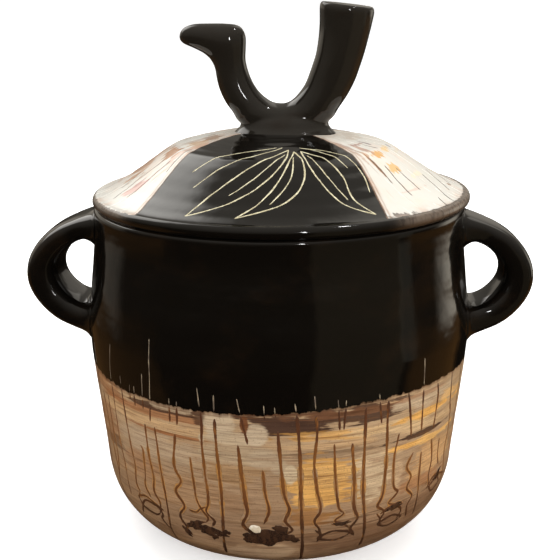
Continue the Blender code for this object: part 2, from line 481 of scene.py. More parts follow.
def bare_clay():
    graph = Graph("bare_clay")
    grain = graph.brushed(0.6, 0.6, 4.0, 0.7)
    rings = graph.brushed(40.0, 1.1)
    colour = graph.ramp(
        grain * 0.6 + rings * 0.4,
        (0.3, (0.26, 0.13, 0.07)),
        (0.5, (0.42, 0.24, 0.14)),
        (0.7, (0.52, 0.34, 0.22)),
    )
    graph.bump(grain * 0.5 + rings, 0.0003, 0.7)
    return graph.finish(colour, 0.82)


RUST = (0.30, 0.125, 0.048)
DARK_RUST = (0.066, 0.032, 0.020)
NEAR_BLACK = (0.075, 0.033, 0.018)
TAN = (0.34, 0.20, 0.10)
SAND = (0.48, 0.315, 0.165)
LIGHT_SAND = (0.55, 0.39, 0.215)
OCHRE = (0.68, 0.37, 0.095)
GOLD = (0.72, 0.43, 0.14)
GREY_CREAM = (0.41, 0.305, 0.20)
PALE = (0.46, 0.355, 0.235)
GREEN_CREAM = (0.53, 0.40, 0.25)
SHADE = (0.25, 0.165, 0.095)
CLAY_BROWN = (0.175, 0.096, 0.052)
WASH = (0.31, 0.20, 0.115)

# Brush strokes on the lower body, painted in this order: the middle's angle (degrees round from the
# front) and height (mm), half its length (degrees) and half its height (mm), its colour, how solid.
STROKES = (
    (-64, 100, 13, 6, RUST, 0.65),
    (-66, 78, 10, 14, RUST, 0.55),
    (-62, 66, 7, 4, DARK_RUST, 0.5),
    (-48, 79, 10, 6.5, GREY_CREAM, 0.7),
    (-47, 61, 8, 8, RUST, 0.40),
    (-35, 76, 15, 7.5, GREY_CREAM, 0.75),
    (-34, 52, 20, 9, TAN, 0.5),
    (-40, 96.5, 24, 2.8, RUST, 0.8),
    (-38, 100.5, 14, 1.8, DARK_RUST, 0.9),
    (-44, 90.8, 25, 3.3, SAND, 0.92),
    (-34, 86.4, 16, 0.8, RUST, 0.95),
    (-30, 104, 7.5, 2.8, PALE, 0.85),
    (-48, 105, 7, 1.6, PALE, 0.6),
    (-22.4, 99.5, 1.9, 5.6, NEAR_BLACK, 0.85),
    (3, 98.8, 15.5, 8, (0.066, 0.031, 0.019), 0.98),
    (22, 101.5, 22, 7, DARK_RUST, 0.95),
    (20, 103.5, 24, 2.6, RUST, 0.35),
    (20, 91, 22, 3.2, OCHRE, 0.6),
    (31, 91.5, 10, 3.8, LIGHT_SAND, 0.85),
    (15, 85.6, 18, 2, SAND, 0.9),
    (16, 80.3, 16, 2.2, SHADE, 0.9),
    (40, 88, 9, 5, LIGHT_SAND, 0.8),
    (50, 101.5, 15, 4.8, PALE, 0.9),
    (46, 104.8, 12, 1.2, RUST, 0.5),
    (52, 92.3, 15, 2.4, OCHRE, 0.95),
    (62, 97, 9, 3.4, GOLD, 0.6),
    (66, 85, 9, 4.4, SAND, 0.8),
    (54, 85, 10, 2.6, LIGHT_SAND, 0.75),
    (46, 80.3, 18, 1.5, DARK_RUST, 0.95),
    (40, 75.5, 9, 2, OCHRE, 0.9),
    (55, 75.4, 11, 2.8, GOLD, 0.9),
    (57, 60, 15, 11, (0.55, 0.335, 0.155), 0.85),
    (52, 50, 16, 3.6, RUST, 0.6),
    (29, 63, 6.4, 15, GREEN_CREAM, 0.9),
    (38, 61, 2.6, 12.5, (0.50, 0.35, 0.21), 0.8),
    (12, 61, 9, 14.5, OCHRE, 0.82),
    (14, 67, 7, 5, (0.60, 0.36, 0.13), 0.7),
    (9, 42, 7.5, 6.5, (0.30, 0.135, 0.038), 0.75),
    (-14, 69, 8.5, 7, (0.33, 0.19, 0.08), 0.55),
    (-14, 50, 7, 7, (0.25, 0.14, 0.07), 0.5),
    (-45, 34.5, 7, 4, WASH, 0.6),
    (-26, 21, 11, 5, (0.36, 0.235, 0.14), 0.75),
    (-4, 19, 13, 7, (0.42, 0.28, 0.165), 0.85),
    (30, 24, 24, 10, CLAY_BROWN, 0.75),
    (52, 34, 18, 7, CLAY_BROWN, 0.7),
    (-38, 22, 8, 4, CLAY_BROWN, 0.5),
)
# Runs of pale glaze, and one dark, with cleaner edges than the strokes, given in the same way.
RUNS = (
    (-12, 80.5, 12, 6.4, (0.40, 0.30, 0.19), 0.8),
    (-4.5, 78.5, 5, 5.4, (0.42, 0.32, 0.21), 0.9),
    (0, 74, 2.6, 4.4, (0.42, 0.32, 0.21), 0.85),
    (-16.8, 97, 4.9, 7.6, (0.47, 0.37, 0.25), 0.95),
    (-12.5, 89.5, 8.6, 4, (0.46, 0.36, 0.24), 0.9),
    (-6.4, 92.8, 3.3, 6.6, (0.48, 0.38, 0.26), 0.95),
    (-9.7, 98.5, 1.3, 5.2, (0.15, 0.05, 0.015), 0.95),
    (-22.4, 88, 0.9, 2.6, (0.46, 0.36, 0.24), 0.8),
    (3.2, 69.3, 1.9, 5.6, (0.54, 0.43, 0.28), 0.98),
    (-11, 16.5, 7, 5.2, (0.40, 0.28, 0.18), 0.85),
    (-1, 18.5, 6.4, 6, (0.46, 0.33, 0.21), 0.9),
)
SIDE_STROKES = 12
TURNED_STROKES = 36  # of the front's strokes, this many are repeated behind


def strokes():
    """The front's strokes, and more in the same manner for the sides and the back."""
    random = np.random.default_rng(7)
    drawn = []
    for angle, height, half_angle, half_height, colour, solid in STROKES[:TURNED_STROKES]:
        behind = angle * 1.25 + (180.0 if angle < 0 else -180.0)
        height += random.uniform(-2.5, 2.5)
        drawn.append((behind, height, half_angle * 1.2, half_height, colour, solid))
    for k in range(SIDE_STROKES):
        angle = (1 if k % 2 else -1) * random.uniform(78.0, 104.0)
        colour = (SAND, DARK_RUST, PALE, OCHRE, GREY_CREAM, RUST)[k % 6]
        half_height = 1.4 if colour == DARK_RUST else random.uniform(3.0, 8.0)
        height = random.uniform(32.0, 100.0)
        drawn.append((angle, height, random.uniform(8.0, 14.0), half_height, colour, 0.8))
    return drawn + list(STROKES)


EDGE_HEIGHT = 106.7  # mm: where the black glaze ends
EDGE_SWING = 3.1  # mm that its edge rises and falls round the pot, twice a turn
EDGE_TURN = 16.0  # degrees: the bearing where it swings up through its middle


def glaze_edge(angle):
    """The height of the black glaze's lower edge at an angle in degrees."""
    return EDGE_HEIGHT + EDGE_SWING * np.sin(2 * np.radians(angle - EDGE_TURN))


def pot_glaze():
    """Black glaze above a brushed edge, and streaks of cream and brown glaze below it."""
    graph = Graph("streaked_glaze")
    angle, _, height = graph.around()
    x, y, _ = graph.place()
    bands = graph.brushed(80.0, 9.0, 2.0, 0.5)
    streaks = graph.brushed(38.0, 1.6, 3.0, 0.65)
    hatch = graph.brushed(30.0, 0.8, 2.0, 0.6)
    fine = graph.brushed(14.0, 0.42, 2.0, 0.6)
    smear = graph.brushed(16.0, 7.0)
    grain = graph.brushed(1 / 1.1, 1 / 1.1, 1.0, 0.5)

    colour = graph.ramp(
        height / 130.0 + (bands - 0.5) * 0.35,
        (0.10, (0.245, 0.150, 0.084)),
        (0.26, (0.262, 0.163, 0.093)),
        (0.36, (0.31, 0.195, 0.11)),
        (0.55, (0.36, 0.245, 0.145)),
        (0.72, (0.41, 0.285, 0.165)),
    )
    colour = graph.blend(graph.step(bands, 0.54, 0.66, 0.5), colour, TAN)
    place = graph.vector(angle, height, 0.0)
    ragged = (streaks - 0.5) * 2.4 + (smear - 0.5) * 2.3
    colour = graph.paint(colour, place, strokes(), ragged)
    colour = graph.paint(colour, place, RUNS, ragged * 0.30)

    shade = graph.ramp(fine, (0.30, (0.74, 0.70, 0.67)), (0.5, (1.0, 1.0, 1.0)), (0.74, (1.20, 1.20, 1.20)))
    colour = graph.blend(0.9, colour, shade, "MULTIPLY")
    tone = graph.ramp(
        streaks,
        (0.30, (0.58, 0.49, 0.42)),
        (0.47, (1.0, 1.0, 1.0)),
        (0.70, (1.24, 1.24, 1.22)),
    )
    colour = graph.blend(0.9, colour, tone, "MULTIPLY")
    colour = graph.blend(graph.step(hatch, 0.57, 0.68, 0.42), colour, (0.19, 0.078, 0.022))
    colour = graph.blend(graph.step(grain, 0.60, 0.72, 0.35), colour, (0.16, 0.09, 0.05))

    wave = graph.math("SINE", (angle - EDGE_TURN) * (math.pi / 90.0)) * EDGE_SWING
    jag = (graph.noise(x / 4.0, y / 4.0, 0.0, 4.0) - 0.5) * 5.0 + (streaks - 0.5) * 2.0
    above = height - (wave + EDGE_HEIGHT + jag)
    colour = graph.blend(graph.step(above, -2.4, 0.2, 0.75), colour, (0.10, 0.045, 0.022))
    black = graph.step(above, -0.3, 0.45)
    colour = graph.blend(black, colour, clouded(graph))

    relief = (streaks * 0.16 + fine * 0.07 + grain * 0.05) * (1.0 - black) + black * 0.16
    return two_glazes(graph, colour, black, streaks * 0.20 + 0.26, relief)


WHITE = (0.63, 0.605, 0.54)

# The front black panel's edges, which run nearly straight out from the knob
PANEL_IN = 40.0  # mm: the radius at the knob where the panel is widest
PANEL_SPAN = 64.0  # mm: from there to the rim
PANEL_LEFT = -59.0  # degrees, at the knob
PANEL_LEFT_TURN = 12.5  # degrees that the left edge swings in by the rim
PANEL_RIGHT = 44.4  # degrees, at the knob
PANEL_RIGHT_TURN = -12.2  # degrees that the right edge swings in by the rim

# Brush marks on the lid's white panels, as on the body but with the radius for the height.
LID_STROKES = (
    (-93, 79, 15, 12, (0.42, 0.23, 0.13), 0.85),
    (-86, 66, 8, 5, (0.55, 0.38, 0.27), 0.6),
    (-71, 64, 6, 5.4, (0.33, 0.15, 0.06), 0.92),
    (-78, 62, 5, 2.2, (0.38, 0.20, 0.10), 0.75),
    (-76, 39, 9, 5.6, (0.26, 0.14, 0.075), 0.85),
    (-70, 50, 9, 5, (0.46, 0.29, 0.16), 0.8),
    (-79, 48, 2.4, 12, (0.42, 0.33, 0.27), 0.6),
    (-61.5, 60, 2.4, 11, (0.55, 0.33, 0.24), 0.65),
    (-59, 76, 1.5, 9, (0.58, 0.36, 0.26), 0.6),
    (-64, 87, 2.8, 7.5, (0.56, 0.31, 0.26), 0.8),
    (-66, 84, 1, 5, (0.34, 0.20, 0.17), 0.7),
    (-96, 93, 12, 2.2, (0.55, 0.40, 0.32), 0.6),
    (57, 64.4, 5.4, 3, (0.60, 0.31, 0.07), 0.95),
    (49.5, 63, 2.6, 3.6, (0.44, 0.24, 0.12), 0.75),
    (56.5, 75.5, 3.6, 3, (0.66, 0.37, 0.10), 0.85),
    (71.5, 63, 4.6, 2.8, (0.70, 0.46, 0.18), 0.8),
    (68, 83, 5, 1.6, (0.78, 0.66, 0.44), 0.6),
    (86, 68, 10, 1, (0.66, 0.56, 0.40), 0.5),
    (54, 57, 2.6, 6.4, (0.40, 0.24, 0.17), 0.85),
    (61, 50.3, 6.4, 1.7, (0.36, 0.23, 0.18), 0.85),
    (70.2, 53, 1.9, 5, (0.20, 0.145, 0.14), 0.85),
    (47.9, 70, 1.5, 7, (0.28, 0.12, 0.045), 0.9),
    (46.8, 47, 2.2, 13, (0.36, 0.24, 0.18), 0.85),
    (45, 58, 1.4, 9, (0.40, 0.24, 0.16), 0.7),
    (54, 90.5, 7, 0.8, (0.60, 0.46, 0.38), 0.75),
    (82, 98.5, 1.8, 1.8, (0.28, 0.14, 0.075), 0.9),
    (82, 63, 2.4, 1.5, (0.33, 0.31, 0.30), 0.8),
    (92, 42, 18, 5, (0.50, 0.40, 0.30), 0.5),
    (38, 106, 4, 2.4, (0.10, 0.08, 0.065), 0.9),
)


LID_REPEATED = 62.0  # degrees: strokes whose middle is nearer the front than this are repeated behind


def lid_glaze():
    """Black panels in front and behind, and white ones with brown brush marks at the sides."""
    graph = Graph("lid_glaze")
    angle, radius, height = graph.around()
    x, y, _ = graph.place()
    out = (radius - PANEL_IN) / PANEL_SPAN
    left = out * PANEL_LEFT_TURN + PANEL_LEFT
    right = out * PANEL_RIGHT_TURN + PANEL_RIGHT
    turn = graph.math("PINGPONG", angle - (left + right) * 0.5, 90.0)
    rays = graph.noise(angle / 2.6, radius / 30.0, 0.0, 3.0, 0.6)
    hairs = graph.noise(angle / 0.9, radius / 26.0, 4.0, 2.0, 0.6)
    cloud = graph.noise(x / 16.0, y / 16.0, 2.0, 4.0, 0.6)
    rough_edge = graph.noise(x / 3.0, y / 3.0, 6.0, 3.0, 0.6)
    # How far the point lies outside the black panel, in millimetres
    outside = (turn - (right - left) * 0.5) * (radius * (math.pi / 180.0)) + (cloud - 0.5) * 1.2

    colour = graph.blend(graph.step(cloud, 0.46, 0.70, 0.85), WHITE, (0.72, 0.60, 0.50))
    behind = []
    for middle, *rest in LID_STROKES:
        if abs(middle) < LID_REPEATED:
            behind.append((middle + (180.0 if middle < 0 else -180.0), *rest))
    ragged = (cloud - 0.5) * 3.4 + (rays - 0.5) * 3.6
    place = graph.vector(angle, radius, 0.0)
    colour = graph.paint(colour, place, behind + list(LID_STROKES), ragged)
    near = graph.step(radius, 50.0, 30.0) * graph.step(rays, 0.36, 0.58)
    colour = graph.blend(near * 0.4, colour, (0.40, 0.28, 0.19))
    hair = graph.step(hairs, 0.62, 0.70) * graph.step(radius, 100.0, 84.0)
    colour = graph.blend(hair * 0.40, colour, (0.32, 0.20, 0.13))
    margin = graph.step(outside, 5.0, 1.0) * graph.step(rays, 0.40, 0.62)
    colour = graph.blend(margin * 0.7, colour, (0.46, 0.27, 0.17))
    second_outline = graph.step(outside, 1.9, 2.3) * graph.step(outside, 3.2, 2.7)
    colour = graph.blend(second_outline * 0.40, colour, (0.30, 0.18, 0.11))
    dirt = graph.step(radius, 99.0, 107.0) * graph.step(cloud, 0.42, 0.66)
    colour = graph.blend(dirt * 0.5, colour, (0.42, 0.30, 0.23))

    rim = graph.step(radius + (rough_edge - 0.5) * 3.2, 106.2, 107.2)
    low = graph.step(height, 203.0, 199.5)
    rim_colour = graph.blend(low, (0.115, 0.085, 0.062), (0.040, 0.027, 0.018))
    rim_colour = graph.blend(graph.step(rough_edge, 0.45, 0.65, 0.8), rim_colour, (0.045, 0.030, 0.022))
    dark_rim = graph.step(outside, 22.0, 0.0)
    rim_colour = graph.blend(dark_rim, rim_colour, (0.0055, 0.0042, 0.0032))
    colour = graph.blend(rim, colour, rim_colour)

    outline = graph.step(outside, 1.05, 0.65) * (1.0 - rim)
    outline_colour = graph.blend(graph.step(rays, 0.35, 0.7), (0.075, 0.045, 0.030), (0.22, 0.13, 0.08))
    colour = graph.blend(outline, colour, outline_colour)
    black = graph.step(outside, 0.10, -0.25)
    colour = graph.blend(black, colour, BLACK)

    shiny = graph.math("MAXIMUM", black, rim * dark_rim)
    relief = (hairs * -0.06 + (rays * -0.10 + outline * -0.2)) * (1.0 - shiny)
    return two_glazes(graph, colour, shiny, rays * 0.18 + 0.16, relief)


def scratched(name, dark, light, speckle, roughness):
    """The colour of a scratched line, which changes along it."""
    graph = Graph(name)
    along = graph.brushed(3.0, 9.0, 2.0)
    grain = graph.brushed(0.5, 0.8, 2.0)
    colour = graph.blend(graph.step(along, 0.42, 0.62), dark, light)
    colour = graph.blend(graph.step(grain, 0.5, 0.7, 0.6), colour, speckle)
    graph.bump(grain, FINE_DEPTH, 0.6)
    return graph.finish(colour, roughness)


def rust_lines():
    """Lines through the brushed glaze: dark at their ends, rust and gold between."""
    graph = Graph("scratched_brown")
    _, _, height = graph.around()
    along = graph.brushed(4.0, 8.0, 2.0)
    grain = graph.brushed(0.5, 0.9, 2.0)
    drift = height + (graph.brushed(7.0, 10.0) - 0.5) * 34.0
    colour = graph.ramp(
        drift / 125.0,
        (0.25, (0.052, 0.022, 0.011)),
        (0.37, (0.105, 0.036, 0.012)),
        (0.50, (0.170, 0.060, 0.013)),
        (0.62, (0.190, 0.070, 0.015)),
        (0.72, (0.110, 0.037, 0.013)),
        (0.84, (0.065, 0.025, 0.013)),
    )
    colour = graph.blend(graph.step(along, 0.57, 0.74, 0.6), colour, (0.32, 0.13, 0.028))
    colour = graph.blend(graph.step(grain, 0.5, 0.7, 0.45), colour, (0.10, 0.045, 0.02))
    graph.bump(grain, FINE_DEPTH, 0.6)
    return graph.finish(colour, 0.34)


def line_stain():
    """The rust and gold that bled from the lines into the glaze beside them."""
    graph = Graph("line_stain")
    colour = graph.ramp(
        graph.brushed(9.0, 7.0) * 0.7 + graph.brushed(38.0, 1.6, 3.0, 0.65) * 0.3,
        (0.38, (0.33, 0.215, 0.125)),
        (0.48, (0.31, 0.165, 0.065)),
        (0.58, (0.42, 0.20, 0.052)),
    )
    return graph.finish(colour, 0.36)


# ---- Lines and spots that lie on a surface ----


RIBBON_STEP = 1.1  # mm between the rings of a line
# A line's cross-section: how far out, as a share of its half width, and up, as a share of its height
RIBBON_SHAPE = ((-1.0, -0.22), (-0.75, 0.6), (0.0, 1.0), (0.75, 0.6), (1.0, -0.22), (0.0, -1.6))
# The rings of a spot: size as a share of its outline, and height as a share of its own
SPOT_RINGS = ((1.0, -0.3), (0.97, 0.35), (0.82, 0.8), (0.5, 0.97), (0.2, 1.0))
SPOT_POINTS = 40


class Relief:
    """Gathers closed ribbons and spots on a surface into one mesh."""

    def __init__(self, surface):
        self.surface = surface
        self.points = []
        self.faces = []

    def at(self, angle, place, proud):
        return self.surface(np.radians(angle), place, proud)

    def ribbon(self, knots, width, proud=0.14, waver=0.0, seed=0):
        """A line through (angle in degrees, height or radius in mm), about width mm wide."""
        path = spline(knots, 8) if len(knots) > 2 else line(knots[0], knots[-1], 9)
        on = self.at(path[:, 0], path[:, 1], 0.0) / MM
        run = np.r_[0.0, np.cumsum(np.linalg.norm(np.diff(on, axis=0), axis=1))]
        count = max(4, int(run[-1] / RIBBON_STEP) + 1)
        wanted = np.linspace(0.0, run[-1], count)
        angle = np.interp(wanted, run, path[:, 0])
        place = np.interp(wanted, run, path[:, 1])
        shake = waver * (np.sin(wanted * 0.42 + seed) + 0.6 * np.sin(wanted * 1.13 + 2.3 * seed))
        angle = angle + shake * 0.5
        centre = self.at(angle, place, 0.0)
        up = self.at(angle, place, 1.0) - centre
        up /= np.linalg.norm(up, axis=1)[:, None]
        ahead = np.gradient(centre, axis=0)
        side = np.cross(up, ahead)
        side /= np.linalg.norm(side, axis=1)[:, None]
        pressed = 0.86 + 0.15 * np.sin(wanted * 0.31 + 1.7 * seed) + 0.08 * np.sin(wanted * 1.7 + seed)
        ends = np.minimum(wanted, run[-1] - wanted)
        half = width / 2 * pressed * MM * np.clip(ends / (1.1 * width), 0.12, 1.0) ** 0.5
        rings = []
        for sideways, lift in RIBBON_SHAPE:
            rings.append(centre + side * (sideways * half)[:, None] + up * (lift * proud * MM))
        rings = np.stack(rings, axis=1)
        self.faces += skinned(rings, len(self.points))
        self.points += [tuple(p) for ring in rings for p in ring]

    def spot(self, angle, place, half_angle, half_place, proud=0.35, seed=0, ragged=0.25, tilt=0.0):
        """A raised spot with a wandering outline; half sizes in millimetres along the surface."""
        t = np.linspace(0.0, 2 * math.pi, SPOT_POINTS, endpoint=False)
        wander = 0.5 * np.sin(3 * t + seed) + 0.35 * np.sin(5 * t + 2.1 * seed) + 0.3 * np.sin(8 * t + seed)
        edge = 1 + ragged * wander
        start = len(self.points)
        here = np.linalg.norm(self.at(angle, place, 0.0)[:2]) / MM
        rings = []
        for share, lift in SPOT_RINGS:
            across = half_angle * share * edge * np.cos(t)
            upward = half_place * share * edge * np.sin(t)
            turned_across = across * math.cos(tilt) - upward * math.sin(tilt)
            turned_up = across * math.sin(tilt) + upward * math.cos(tilt)
            ring = self.at(angle + np.degrees(turned_across / here), place + turned_up, proud * lift)
            rings.append(ring)
            self.points += [tuple(p) for p in ring]
        self.faces += skinned(rings, start)

    def piece(self, name, material, body, slot):
        fix_normals(new_piece(name, self.points, self.faces, [material], body))


# Lines scratched down the front of the body, each as (width, points of (angle, height)).
FRONT_LINES = (
    (0.9, ((-56.5, 128), (-58, 109), (-58, 93), (-58.5, 72), (-57, 52), (-56.5, 36))),
    (1.2, ((-62.5, 94), (-63, 76), (-62.5, 56), (-64, 42))),
    (1.3, ((-52, 112), (-52, 96), (-51.5, 75), (-50.5, 58), (-51, 47), (-49, 41))),
    (0.9, ((-47.5, 109), (-48, 100))),
    (1.0, ((-45.5, 109), (-46, 97))),
    (1.2, ((-41.5, 118), (-42.5, 97))),
    (1.3, ((-38.5, 139), (-38.5, 117), (-40, 91))),
    (1.2, ((-46, 73), (-45, 70), (-45.5, 55), (-46, 48), (-44, 42))),
    (1.5, ((-42.5, 88), (-42.5, 70), (-41.5, 56), (-42, 47), (-40, 41), (-40.5, 36))),
    (1.4, ((-38.5, 88), (-38, 62), (-37, 38), (-40, 14))),
    (1.3, ((-32, 108), (-32.4, 94))),
    (1.3, ((-29.5, 107), (-30, 93))),
    (1.8, ((-31, 87), (-32.5, 68), (-30.5, 59), (-32.8, 52), (-30, 44), (-32, 38), (-32, 34), (-30.4, 29))),
    (1.2, ((-26.6, 75), (-26, 59), (-25.5, 50), (-24, 44), (-22, 39), (-23, 36))),
    (1.6, ((-22.8, 117), (-22, 97), (-22.4, 85), (-22, 66), (-21.5, 50), (-22.5, 43), (-20, 38), (-21, 34))),
    (1.8, ((-18, 114), (-18, 86), (-17.2, 54), (-17.5, 32), (-19.5, 9))),
    (1.6, ((-11.5, 113), (-10, 98), (-8.8, 87))),
    (2.3, ((-11.6, 86), (-11, 71), (-10, 53), (-9.5, 45), (-11, 38), (-9, 33))),
    (1.6, ((-4.7, 72), (-4, 57), (-3, 47), (-4.6, 39))),
    (0.9, ((-4.2, 110), (-4, 102))),
    (0.9, ((-1.3, 109), (-1, 103))),
    (2.0, ((-0.4, 95), (0.4, 76), (1.5, 57), (3, 48), (1.8, 41), (4, 35), (1.5, 32))),
    (2.0, ((4.2, 111), (5, 100), (6, 75), (6.6, 46), (8, 9))),
    (1.7, ((9.5, 115), (10.5, 93), (10, 76), (11, 60), (12.4, 47), (10.6, 40), (12.4, 34), (13.5, 25))),
    (1.4, ((15.6, 86), (16.5, 65), (18, 47), (19.8, 43), (17, 39), (20, 36), (22.5, 32))),
    (1.2, ((16, 112), (17, 94))),
    (1.2, ((18.4, 111), (18.2, 94))),
    (2.1, ((21, 85), (22.5, 62), (23, 46), (24.6, 38), (22.6, 32), (24.6, 26))),
    (2.0, ((24.2, 117), (25, 82), (26, 50), (29.5, 15))),
    (1.3, ((28.4, 112), (30, 94))),
    (1.9, ((31.5, 113), (32, 94), (33, 71), (33, 50), (31.4, 43), (34.4, 38), (33, 32))),
    (1.5, ((36.8, 85), (36, 70), (37, 53), (39, 48), (35.6, 43), (39, 40), (42, 35), (41, 29))),
    (1.6, ((38, 113), (40, 99), (42, 81))),
    (1.5, ((44, 70), (41.8, 62), (44.4, 55), (43, 48), (46, 42), (44.6, 36), (46, 28))),
    (1.5, ((44.2, 126), (45, 107), (46.5, 82))),
    (1.4, ((48, 68), (49, 44), (50.5, 26))),
    (1.6, ((51, 112), (53, 99), (53, 80))),
    (1.3, ((53, 73), (55, 59), (54.5, 50), (55.5, 40))),
    (1.2, ((58.5, 70), (59, 60), (61, 52))),
    (1.4, ((60.5, 112), (62, 98), (64, 82))),
    (1.3, ((64, 88), (66, 70), (65, 60), (67, 47), (66, 38))),
    (1.2, ((70, 113), (71, 90), (72, 64))),
    (1.3, ((-28.5, 42), (-26, 41.5), (-24.5, 44), (-22.5, 46))),
    (1.5, ((-49.5, 42), (-51, 37), (-50, 33), (-52.5, 26))),
    (1.6, ((-41.5, 38), (-40, 33), (-41, 29), (-39, 23))),
    (1.4, ((-51.5, 38), (-47, 41), (-43, 39), (-39, 36))),
    (1.6, ((-32, 24), (-30, 30), (-27, 34), (-23, 36))),
    (1.5, ((16, 37), (19, 36), (22, 38))),
    (1.4, ((11, 34), (13, 30), (12, 25))),
    (1.5, ((33, 37), (36, 40), (40, 41), (42, 39))),
    (1.5, ((31.5, 38), (33.5, 33), (34, 28))),
    (1.6, ((54, 41), (58, 46), (63, 45), (68, 42))),
)

# Loops scratched near the foot, as (angle, height, half width in mm, half height in mm).
FRONT_LOOPS = (
    (-45, 34.5, 8, 3.8),
    (17.6, 28.5, 8.4, 3.3),
    (38, 30, 7.8, 3.2),
    (60, 40, 6.5, 3.4),
)


def side_lines():
    """Scratched lines for the sides and the back, in the manner of those in front."""
    random = np.random.default_rng(21)
    lines = []
    angle = 76.0
    while angle < 292.0:
        angle += random.uniform(2.6, 7.0)
        starts_high = random.random() < 0.5
        top = random.uniform(108.0, 122.0) if starts_high else random.uniform(68.0, 100.0)
        bottom = random.uniform(10.0, 50.0) if random.random() < 0.7 else top - random.uniform(12.0, 26.0)
        lean = random.uniform(-2.0, 2.0)
        points = [(angle, top), (angle + lean * 0.3, top * 0.65 + bottom * 0.35)]
        if bottom < 40.0 and random.random() < 0.5:
            for height in (54.0, 46.0, 39.0, 33.0):
                points.append((angle + lean + random.uniform(-1.8, 1.8), height))
        points.append((angle + lean, min(bottom, 29.0) if len(points) > 2 else bottom))
        lines.append((random.uniform(0.9, 1.8), tuple(points)))
    return lines


def cut_at_edge(points):
    """Splits a line's points where it leaves the black glaze: (those above, those below)."""
    dense = spline(points, 6) if len(points) > 2 else line(points[0], points[-1], 12)
    above = dense[:, 1] > glaze_edge(dense[:, 0])
    return dense[above], dense[~above]


# Thick dark drops near the foot: angle, height, half width, half height in mm, tilt in degrees.
BLOTS = (
    (-3.4, 30, 11.5, 6, 0),
    (-9, 29, 4.6, 3.6, 20),
    (3.4, 29, 5.6, 2.4, -15),
    (0.6, 35, 4.6, 3, -35),
    (-27, 32.4, 5.6, 3.2, 15),
    (-23, 30.6, 6.4, 3.6, -10),
    (-19, 30, 5, 2.2, -20),
    (-31, 26, 2.2, 4, 25),
    (-16.6, 31, 2.6, 1.6, 5),
    (-20.8, 26.6, 2.4, 2, 40),
    (38.4, 39, 6, 2, 8),
    (61, 45.5, 5, 2.2, 25),
    (19.4, 36.4, 5, 1.3, 0),
    (110, 30, 7, 3.4, 10),
    (148, 33, 8, 3.6, -10),
    (196, 29, 7, 3.2, 15),
    (236, 34, 6, 3, 0),
    (268, 30, 5, 2.6, -20),
)


def thinned(points, step):
    """Every step-th point of a long line, or all of a short one."""
    return points[::step] if len(points) > 8 else points


def body_lines(pale, brown, stain, dark, cream):
    """Every line, loop, stain and drop on the body."""
    bright = Relief(body_point)
    deep = Relief(body_point)
    halo = Relief(body_point)
    for seed, (width, points) in enumerate(list(FRONT_LINES) + side_lines()):
        high, low = cut_at_edge(points)
        if len(high) > 2:
            bright.ribbon(thinned(high, 3), 0.45 + 0.2 * width, 0.06, seed=seed, waver=0.02)
        if len(low) > 2:
            deep.ribbon(thinned(low, 2), 0.25 + width, 0.12, seed=seed, waver=0.05)
        stained = low[(low[:, 1] > 36.0) & (low[:, 1] < 76.0)]
        if len(stained) > 6:
            halo.ribbon(stained[::2], 0.4 + width * 1.6, 0.04, seed=seed, waver=0.05)
    for seed, (angle, height, half_width, half_height) in enumerate(all_loops()):
        t = np.radians(np.arange(-30.0, 345.0, 30.0))
        wide = 1 + 0.12 * np.sin(2 * t + seed)
        angles = angle + np.degrees(half_width * wide * np.cos(t) / 98.0)
        heights = height + half_height * wide * np.sin(t) + 0.6 * np.cos(3 * t + seed)
        deep.ribbon(np.column_stack((angles, heights)), 2.2, 0.14, seed=seed + 3)
    bright.piece("body_ticks", pale, "pot", "scratched_line")
    deep.piece("body_scratches", brown, "pot", "scratched_line")
    halo.piece("body_line_stains", stain, "pot", "streaked_glaze")

    blots = Relief(body_point)
    for seed, (angle, height, half_width, half_height, tilt) in enumerate(BLOTS):
        blots.spot(angle, height, half_width, half_height, 0.30, seed + 1, 0.30, math.radians(tilt))
    blots.piece("body_glaze_drops", dark, "pot", "black_glaze")
    drop = Relief(body_point)
    drop.spot(-7.2, 35.4, 3.4, 2.5, 0.55, 4, 0.10, math.radians(-25.0))
    drop.piece("body_cream_drop", cream, "pot", "white_glaze")


def all_loops():
    random = np.random.default_rng(5)
    loops = list(FRONT_LOOPS)
    for angle in (92.0, 128.0, 170.0, 214.0, 252.0):
        loops.append((angle, random.uniform(27.0, 36.0), random.uniform(5.0, 8.0), random.uniform(3.2, 4.6)))
    return loops


# Leaves scratched on the lid's front panel, each as its tip, its two sides and its rib, with points of
# (angle, radius).
LEAVES = (
    (
        ((6, 47), (-4, 57), (-17, 71), (-26, 86), (-30, 101)),
        ((6, 47), (2, 62), (-7, 77), (-18, 90), (-30, 101)),
        ((3, 54), (-8, 70), (-19, 85)),
    ),
    (
        ((9, 50), (11, 62), (9, 76), (1, 89), (-14, 100)),
        ((9, 50), (3, 66), (-2, 78), (-8, 90), (-14, 100)),
        ((7, 58), (4, 74), (-4, 90)),
    ),
    (
        ((13, 50), (22, 60), (26, 74), (25, 88), (29, 101)),
        ((13, 50), (13, 64), (16, 78), (21, 92), (29, 101)),
        ((15, 56), (19, 72), (23, 89)),
    ),
)
GRASSES = (
    ((-2, 44), (-18, 50), (-33, 60), (-41, 73)),
    ((14, 45), (26, 50), (35, 60), (36, 74), (33, 86)),
    ((2, 44), (-14, 56), (-28, 69), (-35, 82)),
    ((20, 47), (28, 58), (31, 70)),
)


def lid_drawing(pale):
    drawing = Relief(lid_point)
    seed = 0
    for edges in LEAVES:
        for edge, width in zip(edges, (1.1, 1.0, 0.8)):
            seed += 1
            drawing.ribbon(edge, width, 0.10, seed=seed, waver=0.04)
    for grass in GRASSES:
        seed += 1
        drawing.ribbon(grass, 0.85, 0.10, seed=seed, waver=0.04)
    drawing.piece("lid_leaf_drawing", pale, "lid", "scratched_line")


